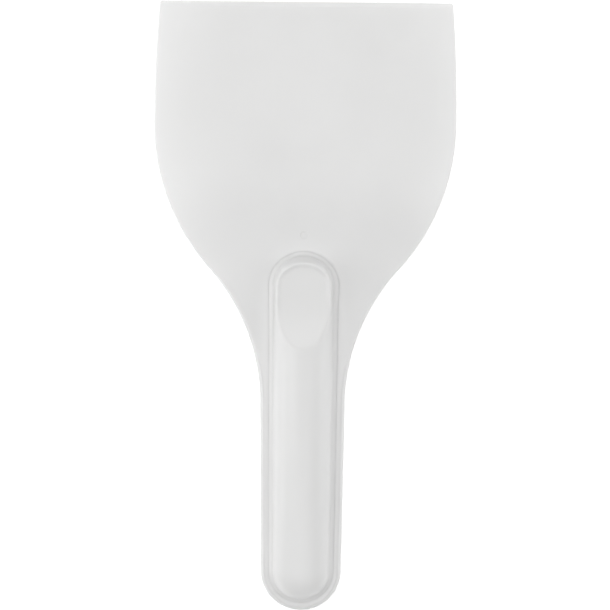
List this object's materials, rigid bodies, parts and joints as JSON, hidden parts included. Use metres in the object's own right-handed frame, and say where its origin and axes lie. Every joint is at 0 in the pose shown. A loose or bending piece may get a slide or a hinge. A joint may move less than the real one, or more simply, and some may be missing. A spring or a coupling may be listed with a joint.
{
  "type": "bench scraper",
  "caption": "Wide flat hand scraper with a bevelled straight working edge, shoulders drawn in to a narrow handle, and a raised grip with a thumb scoop.",
  "frame": {"origin": "under the middle of the bounding box, in the plane that the scraper's flat back lies on", "axes": "+Y along the handle's axis towards the working edge, +Z out of the face that carries the grip, +X across the blade to the right when the working edge points up"},
  "size_m": [0.1, 0.201, 0.0125],
  "materials": {
    "blade": "satin white moulding with a fine even texture",
    "grip": "satin white moulding with a fine even texture"
  },
  "bodies": {
    "root": {"blade_plate": "blade", "front_grip": "grip", "back_cover": "grip"}
  },
  "joints": []
}
